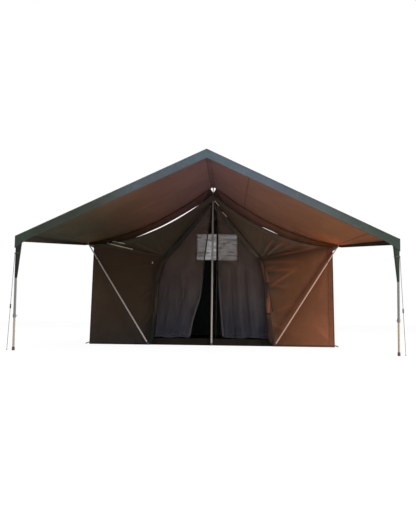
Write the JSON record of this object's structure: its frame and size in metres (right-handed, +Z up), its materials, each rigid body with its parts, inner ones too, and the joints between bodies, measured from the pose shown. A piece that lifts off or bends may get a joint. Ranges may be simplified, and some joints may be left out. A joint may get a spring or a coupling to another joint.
{
  "type": "canvas wall tent",
  "caption": "Canvas wall tent on uprights and a ridge tube, with a raised veranda awning on telescopic corner legs, gauze door curtains and leaning eave struts.",
  "frame": {"origin": "on the ground, midway across the tent and midway between the front of the awning and the rear struts", "axes": "+Z up; the door and the awning face -Y; +X is to the right of somebody who looks at the door; +Y runs from the door to the rear wall"},
  "size_m": [5.072, 5.4028, 2.6651],
  "materials": {
    "awning_canvas": "coated cotton canvas",
    "tent_canvas": "heavy cotton canvas",
    "trim_canvas": "coated cotton canvas",
    "floor_vinyl": "vinyl-coated cloth",
    "gauze_net": "open mosquito gauze",
    "galvanised_tube": "galvanised",
    "leg_paint": "satin paint",
    "zinc_cast": "as cast",
    "black_plastic": "moulded",
    "foot_rubber": "moulded",
    "guy_cord": "braided cord"
  },
  "bodies": {
    "tent": {"awning_canopy": "awning_canvas", "awning_valance": "trim_canvas", "inner_roof": "awning_canvas", "front_wall_left": "tent_canvas", "front_wall_right": "tent_canvas", "side_wall_left": "tent_canvas", "side_wall_right": "tent_canvas", "rear_wall": "tent_canvas", "rear_window_gauze": "gauze_net", "window_flap_roll": "tent_canvas", "groundsheet": "floor_vinyl", "door_roll_left": "tent_canvas", "door_roll_right": "tent_canvas", "gauze_gable_left": "gauze_net", "gauze_gable_right": "gauze_net", "leg_sleeve_left": "trim_canvas", "leg_sleeve_right": "trim_canvas", "awning_ridge_tube": "galvanised_tube", "roof_ridge_tube": "galvanised_tube", "apex_connector": "zinc_cast", "rafter_left": "galvanised_tube", "rafter_right": "galvanised_tube", "corner_connector_left": "zinc_cast", "corner_connector_right": "zinc_cast", "leg_tube_left": "leg_paint", "leg_tube_right": "leg_paint", "leg_collar_left": "zinc_cast", "leg_collar_right": "zinc_cast", "front_upright_upper": "galvanised_tube", "front_upright_lower": "galvanised_tube", "rear_upright_upper": "galvanised_tube", "rear_upright_lower": "galvanised_tube", "front_spigot": "zinc_cast", "rear_spigot": "zinc_cast", "front_upright_foot": "foot_rubber", "rear_upright_foot": "foot_rubber", "strut_tube_front_left": "galvanised_tube", "strut_tube_front_right": "galvanised_tube", "strut_tube_rear_left": "galvanised_tube", "strut_tube_rear_right": "galvanised_tube", "guy_rope_left": "guy_cord", "guy_rope_right": "guy_cord"},
    "leg_left": {"leg_rod_left": "galvanised_tube", "leg_foot_left": "foot_rubber"},
    "leg_screw_left": {"leg_screw_left": "black_plastic"},
    "leg_right": {"leg_rod_right": "galvanised_tube", "leg_foot_right": "foot_rubber"},
    "leg_screw_right": {"leg_screw_right": "black_plastic"},
    "curtain_left": {"gauze_curtain_left": "gauze_net"},
    "curtain_right": {"gauze_curtain_right": "gauze_net"},
    "guy_runner_left": {"guy_runner_left": "black_plastic"},
    "guy_runner_right": {"guy_runner_right": "black_plastic"},
    "strut_rod_front_left": {"strut_rod_front_left": "galvanised_tube"},
    "strut_screw_front_left": {"strut_screw_front_left": "black_plastic"},
    "strut_rod_front_right": {"strut_rod_front_right": "galvanised_tube"},
    "strut_screw_front_right": {"strut_screw_front_right": "black_plastic"},
    "strut_rod_rear_left": {"strut_rod_rear_left": "galvanised_tube"},
    "strut_screw_rear_left": {"strut_screw_rear_left": "black_plastic"},
    "strut_rod_rear_right": {"strut_rod_rear_right": "galvanised_tube"},
    "strut_screw_rear_right": {"strut_screw_rear_right": "black_plastic"}
  },
  "joints": [
    {"name": "leg_slide_left", "type": "slide", "parent": "tent", "child": "leg_left", "axis": [0, 0, 1], "range_m": [-0.28, 0.33]},
    {"name": "leg_screw_turn_left", "type": "hinge", "parent": "tent", "child": "leg_screw_left", "pos_m": [-2.448, -2.64925, 0.442], "axis": [0, 1, 0], "range_deg": [0, 360]},
    {"name": "leg_slide_right", "type": "slide", "parent": "tent", "child": "leg_right", "axis": [0, 0, 1], "range_m": [-0.28, 0.33]},
    {"name": "leg_screw_turn_right", "type": "hinge", "parent": "tent", "child": "leg_screw_right", "pos_m": [2.448, -2.64925, 0.442], "axis": [0, 1, 0], "range_deg": [0, 360]},
    {"name": "curtain_swing_left", "type": "hinge", "parent": "tent", "child": "curtain_left", "pos_m": [-1, -0.09895, 0], "axis": [0.1357, 0, 0.9907], "range_deg": [0, 75]},
    {"name": "curtain_swing_right", "type": "hinge", "parent": "tent", "child": "curtain_right", "pos_m": [1, -0.09895, 0], "axis": [-0.1357, 0, 0.9907], "range_deg": [-75, 0]},
    {"name": "guy_runner_slide_left", "type": "slide", "parent": "tent", "child": "guy_runner_left", "axis": [0.0504, 0, 0.9987], "range_m": [-0.35, 0.55]},
    {"name": "guy_runner_slide_right", "type": "slide", "parent": "tent", "child": "guy_runner_right", "axis": [-0.0504, 0, 0.9987], "range_m": [-0.35, 0.55]},
    {"name": "strut_slide_front_left", "type": "slide", "parent": "tent", "child": "strut_rod_front_left", "axis": [-0.5343, 0.0316, 0.8447], "range_m": [-0.25, 0]},
    {"name": "strut_screw_turn_front_left", "type": "hinge", "parent": "tent", "child": "strut_screw_front_left", "pos_m": [-1.87615, -0.17032, 1.36925], "axis": [0, -0.9993, 0.0374], "range_deg": [0, 360]},
    {"name": "strut_slide_front_right", "type": "slide", "parent": "tent", "child": "strut_rod_front_right", "axis": [0.5343, 0.0316, 0.8447], "range_m": [-0.25, 0]},
    {"name": "strut_screw_turn_front_right", "type": "hinge", "parent": "tent", "child": "strut_screw_front_right", "pos_m": [1.87615, -0.17032, 1.36925], "axis": [0, -0.9993, 0.0374], "range_deg": [0, 360]},
    {"name": "strut_slide_rear_left", "type": "slide", "parent": "tent", "child": "strut_rod_rear_left", "axis": [-0.5343, -0.0316, 0.8447], "range_m": [-0.25, 0]},
    {"name": "strut_screw_turn_rear_left", "type": "hinge", "parent": "tent", "child": "strut_screw_rear_left", "pos_m": [-1.87615, 2.66782, 1.36925], "axis": [0, 0.9993, 0.0374], "range_deg": [0, 360]},
    {"name": "strut_slide_rear_right", "type": "slide", "parent": "tent", "child": "strut_rod_rear_right", "axis": [0.5343, -0.0316, 0.8447], "range_m": [-0.25, 0]},
    {"name": "strut_screw_turn_rear_right", "type": "hinge", "parent": "tent", "child": "strut_screw_rear_right", "pos_m": [1.87615, 2.66782, 1.36925], "axis": [0, 0.9993, 0.0374], "range_deg": [0, 360]}
  ]
}
